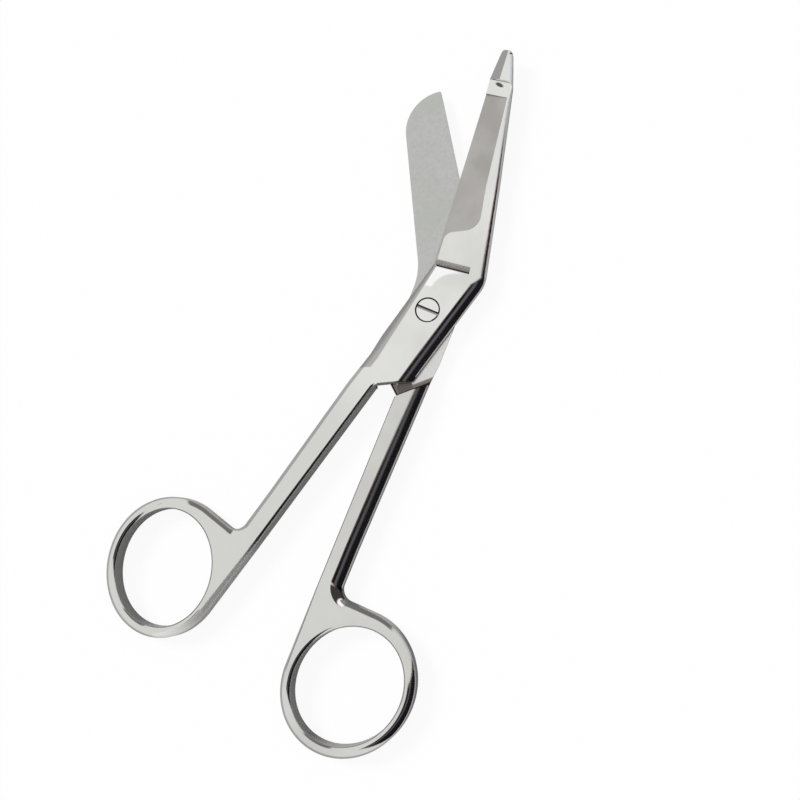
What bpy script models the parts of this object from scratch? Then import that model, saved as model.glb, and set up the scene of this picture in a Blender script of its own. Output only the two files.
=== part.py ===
"""Bandage scissors: two forged steel halves with a lap joint and a slotted pivot screw.

The scissors lie flat, +Z up. The origin is on the pivot axis, in the plane that they lie on.
+Y runs along the long axis of the closed scissors, from the finger rings to the tips.
Both halves are drawn closed, then the probe half is turned open about the pivot.
"""

import math

import bmesh
import bpy
from mathutils import Matrix, Vector

MM = 0.001

# Whole instrument, in millimetres and degrees
THICKNESS = 4.2
LAP_GAP = 0.3
OPEN_ANGLE = 14.6
SIDE_CLEARANCE = 0.3
PARTING_X = 0.17
PARTING_SHIFT = 0.45
EDGE_BREAK = 0.2
SIDE_FULLNESS = 1.5
HANDLE_LENGTH = 71.15
PROBE_EDGE_LENGTH = 33.4
BLUNT_EDGE_LENGTH = 37.35

# Lap joint
JOINT_LEFT = 5.05
JOINT_RIGHT = 5.5
JOINT_END_TAPER = 0.3
JOINT_SIDE_ROUND = 1.9
SHOULDER_APEX_Y = -17.8
SHOULDER_SLOPE = 0.88
SHOULDER_FILLET = 1.5

# Shanks and finger rings
SHANK_WIDTH = 4.9
SHANK_TAPER = 0.4
SHANK_SIDE_ROUND = 2.3
SHANK_START = 2.5
SHANK_END = 23.9
RING_HOLE_WIDTH = 20.3
RING_HOLE_LENGTH = 23.1
RING_LEAN = 24.0
RING_BAR = 2.15
RING_OUTER_ROUND = 1.4
RING_INNER_ROUND = 0.5
RING_STEP = 7.5
RING_TOP_ANGLE = 36.0
WEB_RISE = 2.7
WEB_FILLET = 2.4

# Probe blade, laid out along its cutting edge and across to its back
PROBE_EDGE_LEAN = 19.5
PROBE_EDGE_ROOT_Y = 8.2
PROBE_MID_WIDTH = 8.14
PROBE_MID_LENGTH = 16.2
PROBE_BACK_ROUND = 1.5
PROBE_NECK_LENGTH = 4.0
PROBE_NECK_WIDTH = 4.85
PROBE_HUMP = 0.05
PROBE_HUMP_RADIUS = 4.0
PROBE_NOSE_LENGTH = 7.0
PROBE_TIP_INSET = 0.85
PROBE_TIP_WIDTH = 2.05
PROBE_TIP_RADIUS = 0.7
PROBE_TIP_ROUND = 0.9
ELBOW_FLARE = 0.3
ELBOW_Y = 10.3
ELBOW_RADIUS = 6.0

# Blunt blade, laid out along its cutting edge and across to its back
BLUNT_EDGE_LEAN = 33.4
BLUNT_EDGE_ROOT_Y = 11.55
BLUNT_NOSE_WIDTH = 7.95
BLUNT_NOSE_RADIUS = 8.0
BLUNT_TIP_RADIUS = 0.4
BLUNT_BACK_ROUND = 1.2
BLUNT_BACK_ROOT_Y = 6.5
BLUNT_BACK_FILLET = 12.0
BLUNT_ELBOW_RADIUS = 4.0

# Grinding of the blades
EDGE_THICKNESS = 0.4
RECESS_DEPTH = 1.2
RECESS_START = -0.7
RECESS_END = 4.9
RECESS_ROOT_WIDTH = 7.7
RECESS_MID_WIDTH = 6.0
RECESS_NECK_WIDTH = 4.65
RECESS_SIDE_ROUND = 0.5
RECESS_RAMP = 1.5
STEP_WIDTH = 1.65
LEDGE_START = 0.5
LEDGE_WIDTH = 0.5
PATCH_LENGTH = 5.2
PATCH_SLANT = 0.38
PATCH_CORNER_RADIUS = 1.3
GRIND_SLOPE = 2.8
GRIND_CORNER_RADIUS = 2.4
GRIND_END = 2.0
BLUNT_GRIND_WIDTH = 6.6
BLUNT_GRIND_SLOPE = 10.0
PROBE_FACET_ANGLE = 15.0
PROBE_FACET_START = 0.7
PROBE_RIDGE_ACROSS = 2.05
ROUND_STEPS = 4

# Pivot screw
SCREW_HEAD = 4.5
SCREW_HEAD_DEPTH = 1.0
SCREW_SHAFT = 2.6
SCREW_GAP = 0.3
SCREW_SLOT_WIDTH = 0.65
SCREW_SLOT_DEPTH = 0.45
SCREW_SLOT_ANGLE = -2.6

# Fineness of the round forms
ARC_STEP = 9.0
SIDE_STEPS = 5
SCREW_SIDES = 48

MID = THICKNESS / 2
LOW_FACE = MID - LAP_GAP / 2
HIGH_FACE = MID + LAP_GAP / 2
FAR = 90.0

POLISHED = {"color": (0.78, 0.77, 0.75, 1.0), "roughness": 0.12}
SCREW_STEEL = {"color": (0.74, 0.73, 0.71, 1.0), "roughness": 0.2}


def clear_scene():
    for thing in list(bpy.data.objects):
        bpy.data.objects.remove(thing, do_unlink=True)


def new_collection(name):
    collection = bpy.data.collections.new(name)
    bpy.context.scene.collection.children.link(collection)
    return collection


def new_material(name, color, roughness):
    material = bpy.data.materials.new(name)
    material.use_nodes = True
    shader = material.node_tree.nodes["Principled BSDF"]
    shader.inputs["Base Color"].default_value = color
    shader.inputs["Roughness"].default_value = roughness
    shader.inputs["Metallic"].default_value = 1.0
    return material


def new_object(name, mesh_source, collection):
    mesh = bpy.data.meshes.new(name)
    mesh_source.to_mesh(mesh)
    mesh_source.free()
    thing = bpy.data.objects.new(name, mesh)
    collection.objects.link(thing)
    return thing


# Outlines: a corner is (x, y, fillet radius, side rounding of the edge that leaves it)


def rounded_outline(corners):
    """Points round a closed outline, each with the side rounding before and after it."""
    points = []
    for index, (x, y, radius, after) in enumerate(corners):
        before = corners[index - 1][3]
        here = Vector((x, y))
        back = Vector(corners[index - 1][:2]) - here
        ahead = Vector(corners[(index + 1) % len(corners)][:2]) - here
        turn = math.pi - back.angle(ahead)
        if radius <= 0.0 or turn < math.radians(1.0):
            points.append((here, before, after))
            continue
        reach = radius * math.tan(turn / 2)
        start = here + back.normalized() * reach
        end = here + ahead.normalized() * reach
        inward = (back.normalized() + ahead.normalized()).normalized()
        centre = here + inward * (radius / math.cos(turn / 2))
        steps = max(2, math.ceil(math.degrees(turn) / ARC_STEP))
        sweep = (start - centre).angle_signed(end - centre)
        for step in range(steps + 1):
            part = step / steps
            spoke = Matrix.Rotation(-sweep * part, 2) @ (start - centre)
            blend = before + (after - before) * part
            points.append((centre + spoke, blend, blend))
    return points


def inset_vectors(points):
    """How far the flat face draws in from each outline point, as a vector."""
    vectors = []
    for index, (here, before, after) in enumerate(points):
        back = (here - points[index - 1][0]).normalized()
        ahead = (points[(index + 1) % len(points)][0] - here).normalized()
        normal_back = Vector((-back.y, back.x))
        normal_ahead = Vector((-ahead.y, ahead.x))
        cross = back.x * ahead.y - back.y * ahead.x
        if abs(cross) < math.sin(math.radians(25.0)):
            middle = (normal_back + normal_ahead).normalized()
            vectors.append(middle * (before + after) / 2)
        else:
            vectors.append((ahead * before - back * after) / cross)
    return vectors


def section_loops(points):
    """Loops from the lower flat face over the rounded side to the upper flat face."""
    insets = inset_vectors(points)
    loops = []
    levels = [(-1, step) for step in range(SIDE_STEPS, -1, -1)]
    levels += [(1, step) for step in range(SIDE_STEPS + 1)]
    for sign, step in levels:
        angle = math.radians(90.0) * step / SIDE_STEPS
        outward = max(0.0, math.cos(angle)) ** SIDE_FULLNESS
        upward = math.sin(angle) ** SIDE_FULLNESS
        loop = []
        for (here, before, after), inset in zip(points, insets):
            depth = min(max(before, after), MID - EDGE_BREAK / 2)
            place = here + inset * (1 - outward)
            height = MID + sign * (MID - depth * (1 - upward))
            loop.append(Vector((place.x, place.y, height)))
        loops.append(loop)
    return loops


def forge(name, outline, hole, collection):
    """A flat forging with rounded sides: the outline and the hole, each a band of section loops."""
    mesh = bmesh.new()
    lower_rims = []
    upper_rims = []
    for points in (outline, hole):
        edges = []
        for loop in section_loops(points):
            verts = [mesh.verts.new(place * MM) for place in loop]
            edges.append([mesh.edges.new((verts[i - 1], verts[i])) for i in range(len(verts))])
        for lower, upper in zip(edges, edges[1:]):
            bmesh.ops.bridge_loops(mesh, edges=lower + upper)
        lower_rims += edges[0]
        upper_rims += edges[-1]
    for rim in (lower_rims, upper_rims):
        bmesh.ops.triangle_fill(mesh, edges=rim, use_beauty=True, use_dissolve=False)
    bmesh.ops.recalc_face_normals(mesh, faces=mesh.faces)
    return new_object(name, mesh, collection)


# Plan geometry, all in the closed position; side is 1 for the right-hand handle and -1 for the left


def plan_direction(lean):
    """The way along a blade that leans to the left of +Y."""
    return Vector((-math.sin(math.radians(lean)), math.cos(math.radians(lean))))


def probe_root():
    return Vector((PARTING_X - JOINT_LEFT, PROBE_EDGE_ROOT_Y))


def probe_spot(along, across):
    """A point of the probe blade: along its edge, and across towards its back."""
    way = plan_direction(PROBE_EDGE_LEAN)
    return probe_root() + way * along + Vector((way.y, -way.x)) * across


def blunt_root():
    return Vector((PARTING_X + JOINT_RIGHT, BLUNT_EDGE_ROOT_Y))


def blunt_spot(along, across):
    """A point of the blunt blade: along its edge, and across towards its back."""
    way = plan_direction(BLUNT_EDGE_LEAN)
    return blunt_root() + way * along + Vector((-way.y, way.x)) * across


def parting_x(y):
    """The line that the closed halves meet on; it drifts to the left towards the rings."""
    share = max(0.0, (SHOULDER_APEX_Y - y) / (SHOULDER_APEX_Y + HANDLE_LENGTH))
    return PARTING_X - PARTING_SHIFT * share


def ring_reach():
    """Half the width of a finger ring's leaning oval, square to the parting line."""
    lean = math.radians(RING_LEAN)
    across = (RING_HOLE_WIDTH / 2 + RING_BAR) * math.cos(lean)
    along = (RING_HOLE_LENGTH / 2 + RING_BAR) * math.sin(lean)
    return math.hypot(across, along)


def ring_inner_angle(side):
    """Where along its oval a ring comes nearest to the parting line."""
    lean = math.radians(RING_LEAN)
    along = (RING_HOLE_LENGTH / 2 + RING_BAR) * math.sin(lean)
    across = (RING_HOLE_WIDTH / 2 + RING_BAR) * math.cos(lean)
    angle = 180.0 + math.degrees(math.atan2(along, across)) - RING_LEAN
    return angle if side > 0 else 180.0 - angle


def ring_curve(side, grow, start, sweep, rounding):
    """Corners along a finger ring's oval, grown outwards by a width."""
    lean = math.radians(90.0 - side * RING_LEAN)
    out = SIDE_CLEARANCE / 2 + ring_reach()
    centre = Vector((parting_x(-HANDLE_LENGTH) + side * out, -HANDLE_LENGTH))
    count = max(2, round(abs(sweep) / RING_STEP))
    corners = []
    for step in range(count + 1):
        angle = math.radians(start + sweep * step / count) - lean
        along = (RING_HOLE_LENGTH / 2 + grow) * math.cos(angle)
        across = (RING_HOLE_WIDTH / 2 + grow) * math.sin(angle)
        spot = centre + Matrix.Rotation(lean, 2) @ Vector((along, across))
        corners.append((spot.x, spot.y, 0.0, rounding))
    return corners


def shank_inner_x(side, y):
    return parting_x(y) + side * SIDE_CLEARANCE / 2


def shank_corner(side, y, width):
    """A corner of a shank's outer edge, at a height and a width."""
    return (shank_inner_x(side, y) + side * width, y, 0.0, SHANK_SIDE_ROUND)


def ring_shoulder(side, ring, web_y):
    """The corner where the ring's end runs on to the web's top, with the radius that fits."""
    last = Vector(ring[-1][:2])
    way = (last - Vector(ring[-2][:2])).normalized()
    corner = last + way * (web_y - last.y) / way.y
    turn = way.angle(Vector((-side, 0.0)))
    radius = (corner - last).length / math.tan(turn / 2)
    return (corner.x, corner.y, radius, RING_OUTER_ROUND)


def handle_corners(side):
    """One half's handle, from the shank's inner edge round the ring to its outer edge."""
    web_y = -HANDLE_LENGTH + RING_HOLE_LENGTH / 2 + WEB_RISE
    start = ring_inner_angle(side)
    end = 360.0 + RING_TOP_ANGLE if side > 0 else -180.0 - RING_TOP_ANGLE
    ring = ring_curve(side, RING_BAR, start, end - start, RING_OUTER_ROUND)
    web = shank_corner(side, web_y, SHANK_WIDTH - SHANK_TAPER)
    return [
        (shank_inner_x(side, web_y), web_y, 0.0, RING_OUTER_ROUND / 2),
        *ring,
        ring_shoulder(side, ring, web_y),
        (*web[:2], WEB_FILLET, SHANK_SIDE_ROUND),
        shank_corner(side, -HANDLE_LENGTH + SHANK_END, SHANK_WIDTH - SHANK_TAPER),
        shank_corner(side, SHOULDER_APEX_Y - SHANK_START, SHANK_WIDTH),
    ]


def joint_end_y(reach):
    """Height of the V-shaped joint end, at a distance from the parting line."""
    return SHOULDER_APEX_Y + SIDE_CLEARANCE / 2 + reach * SHOULDER_SLOPE


def blunt_outline():
    left = PARTING_X - JOINT_LEFT
    right = PARTING_X + JOINT_RIGHT
    inner = PARTING_X + SIDE_CLEARANCE / 2
    end = BLUNT_EDGE_LENGTH
    return [
        *handle_corners(1),
        (right - JOINT_END_TAPER, joint_end_y(JOINT_RIGHT), 0.0, JOINT_SIDE_ROUND),
        (right, SHOULDER_APEX_Y / 2, 0.0, JOINT_SIDE_ROUND),
        (*blunt_root(), BLUNT_ELBOW_RADIUS, EDGE_BREAK),
        (*blunt_spot(end, 0.0), BLUNT_TIP_RADIUS, BLUNT_BACK_ROUND / 2),
        (*blunt_spot(end, BLUNT_NOSE_WIDTH), BLUNT_NOSE_RADIUS, BLUNT_BACK_ROUND),
        (left, BLUNT_BACK_ROOT_Y, BLUNT_BACK_FILLET, JOINT_SIDE_ROUND),
        (left, joint_end_y(JOINT_LEFT), EDGE_BREAK * 4, EDGE_BREAK),
        (inner, joint_end_y(0.0), 0.0, EDGE_BREAK),
    ]


def probe_outline():
    left = PARTING_X - JOINT_LEFT
    right = PARTING_X + JOINT_RIGHT
    inner = PARTING_X - SIDE_CLEARANCE / 2
    neck = PROBE_EDGE_LENGTH + PROBE_NECK_LENGTH
    tip = neck + PROBE_NOSE_LENGTH
    # The handle is listed from its inner edge outwards, which on this side runs clockwise
    corners = reversed_corners(handle_corners(-1))
    corners[-1] = (*corners[-1][:3], EDGE_BREAK)
    return [
        *corners,
        (inner, joint_end_y(0.0), SHOULDER_FILLET, EDGE_BREAK),
        (right, joint_end_y(JOINT_RIGHT), 0.0, JOINT_SIDE_ROUND),
        (right, SHOULDER_APEX_Y / 2, 0.0, JOINT_SIDE_ROUND),
        (right + ELBOW_FLARE, ELBOW_Y, ELBOW_RADIUS, JOINT_SIDE_ROUND),
        (*probe_spot(PROBE_EDGE_LENGTH - PROBE_MID_LENGTH, PROBE_MID_WIDTH), 0.0, PROBE_BACK_ROUND),
        (*probe_spot(neck, PROBE_NECK_WIDTH), 0.0, PROBE_TIP_ROUND),
        (*probe_spot(tip, PROBE_TIP_INSET + PROBE_TIP_WIDTH), PROBE_TIP_RADIUS, EDGE_BREAK),
        (*probe_spot(tip, PROBE_TIP_INSET), PROBE_TIP_RADIUS, EDGE_BREAK),
        (*probe_spot(neck, -PROBE_HUMP), PROBE_HUMP_RADIUS, EDGE_BREAK),
        (*probe_spot(PROBE_EDGE_LENGTH, 0.0), 0.0, EDGE_BREAK),
        (*probe_root(), 0.0, JOINT_SIDE_ROUND),
        (left, SHOULDER_APEX_Y / 2, 0.0, JOINT_SIDE_ROUND),
        (left + JOINT_END_TAPER, joint_end_y(JOINT_LEFT), 0.0, SHANK_SIDE_ROUND),
    ]


def reversed_corners(corners):
    """The same corners the other way round, keeping each edge's rounding."""
    roundings = [corner[3] for corner in corners]
    turned = []
    for index in range(len(corners) - 1, -1, -1):
        x, y, radius, _ = corners[index]
        turned.append((x, y, radius, roundings[index - 1]))
    return turned


# Cutters, each a closed block that a Boolean takes away


def as_cutter(thing, carrier):
    """A cutter that turns with the piece it cuts and isn't part of the model."""
    thing.hide_render = True
    thing.display_type = "WIRE"
    thing.parent = carrier
    step = carrier.modifiers.new(f"cut by {thing.name}", "BOOLEAN")
    step.operation = "DIFFERENCE"
    step.solver = "EXACT"
    step.object = thing


def prism(corners, low, high):
    """A straight-sided block over a plan outline, from one height to another."""
    mesh = bmesh.new()
    verts = [mesh.verts.new((x * MM, y * MM, low * MM)) for x, y in corners]
    base = mesh.faces.new(verts)
    grown = bmesh.ops.extrude_face_region(mesh, geom=[base])
    top = [item for item in grown["geom"] if isinstance(item, bmesh.types.BMVert)]
    bmesh.ops.translate(mesh, verts=top, vec=(0.0, 0.0, (high - low) * MM))
    bmesh.ops.recalc_face_normals(mesh, faces=mesh.faces)
    return mesh


def drum(radius, low, high):
    mesh = bmesh.new()
    bmesh.ops.create_cone(
        mesh,
        cap_ends=True,
        segments=SCREW_SIDES,
        radius1=radius * MM,
        radius2=radius * MM,
        depth=(high - low) * MM,
        matrix=Matrix.Translation((0.0, 0.0, (low + high) / 2 * MM)),
    )
    return mesh


def lap_plan(side):
    """Plan of what the lap takes from a half: all that lies ahead of its shoulder."""
    apex_y = SHOULDER_APEX_Y - SIDE_CLEARANCE / 2
    return [
        (PARTING_X - side * FAR, apex_y),
        (PARTING_X, apex_y),
        (PARTING_X + side * FAR, apex_y + FAR * SHOULDER_SLOPE),
        (PARTING_X - side * FAR, apex_y + FAR * SHOULDER_SLOPE),
    ]


def local_frame(start, along, across, height, up):
    """A frame with X across, Y along, and Z up or down, at a point of the plan."""
    return Matrix((
        (across.x, along.x, 0.0, start.x * MM),
        (across.y, along.y, 0.0, start.y * MM),
        (0.0, 0.0, up, height * MM),
        (0.0, 0.0, 0.0, 1.0),
    ))


def wheel_block(plan, ends):
    """A block over a plan of (across, along, corner radius), its floor at height 0.

    Each entry of ends is the number of the floor edge that it rounds, a radius and a step count.
    """
    mesh = bmesh.new()
    base = [mesh.verts.new((across * MM, along * MM, 0.0)) for across, along, _ in plan]
    floor = mesh.faces.new(base)
    grown = bmesh.ops.extrude_face_region(mesh, geom=[floor])
    top = [item for item in grown["geom"] if isinstance(item, bmesh.types.BMVert)]
    bmesh.ops.translate(mesh, verts=top, vec=(0.0, 0.0, THICKNESS * MM))
    bmesh.ops.recalc_face_normals(mesh, faces=mesh.faces)
    rims = [mesh.edges.get((base[i], base[(i + 1) % len(base)])) for i in range(len(base))]
    posts = {}
    for vert, (_, _, radius) in zip(base, plan):
        post = next(edge for edge in vert.link_edges if edge.other_vert(vert).co.z > 0.0)
        posts.setdefault(radius, []).append(post)
    for index, radius, steps in ends:
        bevel_edges(mesh, [rims[index]], radius, steps)
    for radius, edges in posts.items():
        if radius > 0.0:
            bevel_edges(mesh, [edge for edge in edges if edge.is_valid], radius, ROUND_STEPS)
    return mesh


def bevel_edges(mesh, edges, radius, steps):
    bmesh.ops.bevel(
        mesh,
        geom=edges,
        offset=radius * MM,
        segments=steps,
        profile=0.5,
        affect="EDGES",
        material=-1,
    )


def lean_first_wall(mesh, slope):
    """Leans a block's nearest wall back, by a width for each unit of height."""
    nearest = min(vert.co.y for vert in mesh.verts)
    for vert in mesh.verts:
        if vert.co.y - nearest < EDGE_BREAK * MM / 100:
            vert.co.y -= vert.co.z * slope


def on_blade(mesh, start, lean, back_side, slope, height, up):
    """Lays a block on a blade: X from the cutting edge to the back, Y along the edge."""
    along = plan_direction(lean)
    across = Vector((-along.y, along.x)) * back_side
    bmesh.ops.rotate(mesh, matrix=Matrix.Rotation(-math.radians(slope), 3, "Y"), verts=mesh.verts)
    bmesh.ops.transform(mesh, matrix=local_frame(start, along, across, height, up), verts=mesh.verts)
    bmesh.ops.recalc_face_normals(mesh, faces=mesh.faces)
    return mesh


def probe_back_width(along):
    """How far the recess reaches across the probe blade, from its cutting edge."""
    mid = PROBE_EDGE_LENGTH - PROBE_MID_LENGTH
    end = PROBE_EDGE_LENGTH + RECESS_END
    if along < mid:
        share = along / mid
        return RECESS_ROOT_WIDTH + (RECESS_MID_WIDTH - RECESS_ROOT_WIDTH) * share
    share = (along - mid) / (end - mid)
    return RECESS_MID_WIDTH + (RECESS_NECK_WIDTH - RECESS_MID_WIDTH) * share


def probe_recess():
    """The thinned blade: a slope down from the joint, a flat floor, and a ramp up to the nose."""
    mid = PROBE_EDGE_LENGTH - PROBE_MID_LENGTH
    end = PROBE_EDGE_LENGTH + RECESS_END
    floor_start = RECESS_START + STEP_WIDTH
    plan = [
        (-THICKNESS, floor_start, 0.0),
        (probe_back_width(floor_start), floor_start, 0.0),
        (probe_back_width(mid), mid, 0.0),
        (probe_back_width(end), end, 0.0),
        (-THICKNESS, end, 0.0),
    ]
    mesh = wheel_block(plan, [(3, RECESS_RAMP, ROUND_STEPS)])
    lean_first_wall(mesh, STEP_WIDTH / RECESS_DEPTH)
    return on_blade(mesh, probe_root(), PROBE_EDGE_LEAN, -1, 0.0, THICKNESS - RECESS_DEPTH, 1)


def probe_grinding():
    """The ground face, which slopes to the cutting edge and runs on as a ledge to the step."""
    start = RECESS_START + STEP_WIDTH + PATCH_LENGTH
    mid = PROBE_EDGE_LENGTH - PROBE_MID_LENGTH
    end = PROBE_EDGE_LENGTH + GRIND_END
    back = probe_back_width(start) - RECESS_SIDE_ROUND
    plan = [
        (-THICKNESS, RECESS_START + LEDGE_START, 0.0),
        (LEDGE_WIDTH, RECESS_START + LEDGE_START, 0.0),
        (LEDGE_WIDTH, start + LEDGE_WIDTH * PATCH_SLANT, PATCH_CORNER_RADIUS),
        (back, start + back * PATCH_SLANT, GRIND_CORNER_RADIUS),
        (probe_back_width(mid) - RECESS_SIDE_ROUND, mid, 0.0),
        (probe_back_width(end) - RECESS_SIDE_ROUND, end, 0.0),
        (-THICKNESS, end, 0.0),
    ]
    mesh = wheel_block(plan, [])
    height = HIGH_FACE + EDGE_THICKNESS
    return on_blade(mesh, probe_root(), PROBE_EDGE_LEAN, -1, GRIND_SLOPE, height, 1)


def blunt_grinding():
    """The blunt blade's outer face, ground on its whole length up to its cutting edge."""
    plan = [
        (-THICKNESS, 0.0, 0.0),
        (BLUNT_GRIND_WIDTH, 0.0, GRIND_CORNER_RADIUS),
        (BLUNT_GRIND_WIDTH, FAR, 0.0),
        (-THICKNESS, FAR, 0.0),
    ]
    mesh = wheel_block(plan, [(0, GRIND_CORNER_RADIUS, ROUND_STEPS)])
    height = LOW_FACE - EDGE_THICKNESS
    return on_blade(mesh, blunt_root(), BLUNT_EDGE_LEAN, 1, BLUNT_GRIND_SLOPE, height, -1)


def facet():
    """The block that planes the probe's flat, sloping from its ridge to the cutting side."""
    start = PROBE_EDGE_LENGTH + RECESS_END + PROBE_FACET_START - RECESS_RAMP
    plan = [
        (-PROBE_NECK_WIDTH, start, 0.0),
        (0.0, start, 0.0),
        (0.0, start + PROBE_NOSE_LENGTH * 2, 0.0),
        (-PROBE_NECK_WIDTH, start + PROBE_NOSE_LENGTH * 2, 0.0),
    ]
    mesh = wheel_block(plan, [])
    ridge = probe_spot(0.0, PROBE_RIDGE_ACROSS)
    return on_blade(mesh, ridge, PROBE_EDGE_LEAN, -1, PROBE_FACET_ANGLE, THICKNESS, 1)


# Pieces


def make_probe_half(parts, cutters):
    half = forge("probe_half", rounded_outline(probe_outline()), hole_outline(-1), parts)
    half.data.materials.append(new_material("polished_steel", **POLISHED))
    bore = SCREW_SHAFT / 2 + SCREW_GAP
    recess = SCREW_HEAD / 2 + SCREW_GAP
    blocks = {
        "probe_lap": prism(lap_plan(-1), -THICKNESS, HIGH_FACE),
        "probe_recess": probe_recess(),
        "probe_grinding": probe_grinding(),
        "probe_facet": facet(),
        "probe_bore": drum(bore, 0.0, THICKNESS * 2),
        "probe_screw_seat": drum(recess, THICKNESS - SCREW_HEAD_DEPTH - SCREW_GAP, THICKNESS * 2),
    }
    for name, block in blocks.items():
        as_cutter(new_object(name, block, cutters), half)
    half.rotation_euler.z = -math.radians(OPEN_ANGLE)
    return half


def make_blunt_half(parts, cutters):
    half = forge("blunt_half", rounded_outline(blunt_outline()), hole_outline(1), parts)
    half.data.materials.append(new_material("polished_steel_lower", **POLISHED))
    bore = SCREW_SHAFT / 2 + SCREW_GAP
    blocks = {
        "blunt_lap": prism(lap_plan(1), LOW_FACE, THICKNESS * 2),
        "blunt_grinding": blunt_grinding(),
        "blunt_bore": drum(bore, -THICKNESS, THICKNESS),
    }
    for name, block in blocks.items():
        as_cutter(new_object(name, block, cutters), half)
    return half


def make_screw(parts, cutters):
    """The pivot screw: a turned profile, then its slot."""
    head = SCREW_HEAD / 2
    shaft = SCREW_SHAFT / 2
    under_head = THICKNESS - SCREW_HEAD_DEPTH
    profile = [
        (0.0, THICKNESS),
        (head - EDGE_BREAK / 2, THICKNESS),
        (head, THICKNESS - EDGE_BREAK / 2),
        (head, under_head),
        (shaft, under_head),
        (shaft, EDGE_BREAK),
        (shaft - EDGE_BREAK, 0.0),
        (0.0, 0.0),
    ]
    mesh = bmesh.new()
    verts = [mesh.verts.new((x * MM, 0.0, z * MM)) for x, z in profile]
    for first, second in zip(verts, verts[1:]):
        mesh.edges.new((first, second))
    screw = new_object("pivot_screw", mesh, parts)
    screw.data.materials.append(new_material("screw_steel", **SCREW_STEEL))
    turn = screw.modifiers.new("turn", "SCREW")
    turn.steps = SCREW_SIDES
    turn.render_steps = SCREW_SIDES
    turn.use_merge_vertices = True
    turn.merge_threshold = EDGE_BREAK * MM / 100
    half_slot = SCREW_SLOT_WIDTH / 2
    slot_plan = [
        (-head * 2, -half_slot), (head * 2, -half_slot),
        (head * 2, half_slot), (-head * 2, half_slot),
    ]
    slot = prism(slot_plan, THICKNESS - SCREW_SLOT_DEPTH, THICKNESS * 2)
    as_cutter(new_object("screw_slot", slot, cutters), screw)
    screw.rotation_euler.z = math.radians(SCREW_SLOT_ANGLE)
    return screw


def hole_outline(side):
    """The finger hole, run clockwise so that its wall faces into the hole."""
    corners = ring_curve(side, 0.0, 0.0, -360.0, RING_INNER_ROUND)[:-1]
    return [(Vector(corner[:2]), corner[3], corner[3]) for corner in corners]


def main():
    clear_scene()
    parts = new_collection("bandage_scissors")
    cutters = new_collection("cutters")
    pieces = [
        make_blunt_half(parts, cutters),
        make_probe_half(parts, cutters),
        make_screw(parts, cutters),
    ]
    for piece in pieces:
        piece.data.shade_smooth()
        piece.data.set_sharp_from_angle(angle=math.radians(30.0))
    bpy.context.view_layer.update()


main()
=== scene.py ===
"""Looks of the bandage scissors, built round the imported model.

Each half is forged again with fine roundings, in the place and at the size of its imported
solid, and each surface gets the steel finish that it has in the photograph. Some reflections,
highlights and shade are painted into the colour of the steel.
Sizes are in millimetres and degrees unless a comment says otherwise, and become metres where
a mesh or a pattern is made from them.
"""

import math

import bmesh
import bpy
from mathutils import Matrix, Vector


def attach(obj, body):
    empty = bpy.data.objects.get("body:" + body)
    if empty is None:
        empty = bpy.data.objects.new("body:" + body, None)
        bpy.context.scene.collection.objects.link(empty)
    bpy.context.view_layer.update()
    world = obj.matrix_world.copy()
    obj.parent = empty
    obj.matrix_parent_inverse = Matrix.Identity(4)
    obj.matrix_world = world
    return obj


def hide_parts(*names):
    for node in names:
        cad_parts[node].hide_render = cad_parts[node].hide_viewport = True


MM = 0.001
CAD_BODY_OF = {"probe_half": "upper", "blunt_half": "lower", "pivot_screw": "lower"}

# Whole instrument
THICKNESS = 4.2
LAP_GAP = 0.3
OPEN_ANGLE = 14.6
SIDE_CLEARANCE = 0.3
PARTING_X = 0.17
PARTING_SHIFT = 0.45
EDGE_BREAK = 0.2
SIDE_FULLNESS = 1.5
HANDLE_LENGTH = 71.15
PROBE_EDGE_LENGTH = 33.4
BLUNT_EDGE_LENGTH = 37.35
SIDE_FALL = 0.75

# Lap joint
JOINT_LEFT = 5.05
JOINT_RIGHT = 5.5
JOINT_END_TAPER = 0.3
JOINT_SIDE_ROUND = 2.3
SHOULDER_APEX_Y = -17.8
SHOULDER_SLOPE = 0.88
SHOULDER_FILLET = 1.5

# Shanks and finger rings
SHANK_WIDTH = 4.9
SHANK_TAPER = 0.4
SHANK_SIDE_ROUND = 2.3
SHANK_INNER_ROUND = 0.4
SHANK_START = 2.5
SHANK_END = 23.9
RING_HOLE_WIDTH = 20.3
RING_HOLE_LENGTH = 23.1
RING_LEAN = 24.0
RING_BAR = 2.15
RING_OUTER_ROUND = 1.4
RING_INNER_ROUND = 0.65
RING_STEP = 3.0
RING_TOP_ANGLE = 36.0
WEB_RISE = 2.7
WEB_FILLET = 2.4

# Probe blade, laid out along its cutting edge and across to its back
PROBE_EDGE_LEAN = 19.5
PROBE_EDGE_ROOT_Y = 8.2
PROBE_MID_WIDTH = 8.14
PROBE_MID_LENGTH = 16.2
PROBE_BACK_ROUND = 1.5
PROBE_NECK_LENGTH = 4.0
PROBE_NECK_WIDTH = 4.85
PROBE_HUMP = 0.05
PROBE_HUMP_RADIUS = 4.0
PROBE_NOSE_LENGTH = 7.0
PROBE_TIP_INSET = 0.85
PROBE_TIP_WIDTH = 2.05
PROBE_TIP_RADIUS = 0.7
PROBE_TIP_ROUND = 0.9
ELBOW_FLARE = 0.3
ELBOW_Y = 10.3
ELBOW_RADIUS = 6.0

# Blunt blade, laid out along its cutting edge and across to its back
BLUNT_EDGE_LEAN = 33.4
BLUNT_EDGE_ROOT_Y = 11.55
BLUNT_NOSE_WIDTH = 7.95
BLUNT_NOSE_RADIUS = 8.0
BLUNT_TIP_RADIUS = 0.4
BLUNT_BACK_ROUND = 1.2
BLUNT_BACK_ROOT_Y = 6.5
BLUNT_BACK_FILLET = 12.0
BLUNT_ELBOW_RADIUS = 4.0

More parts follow.
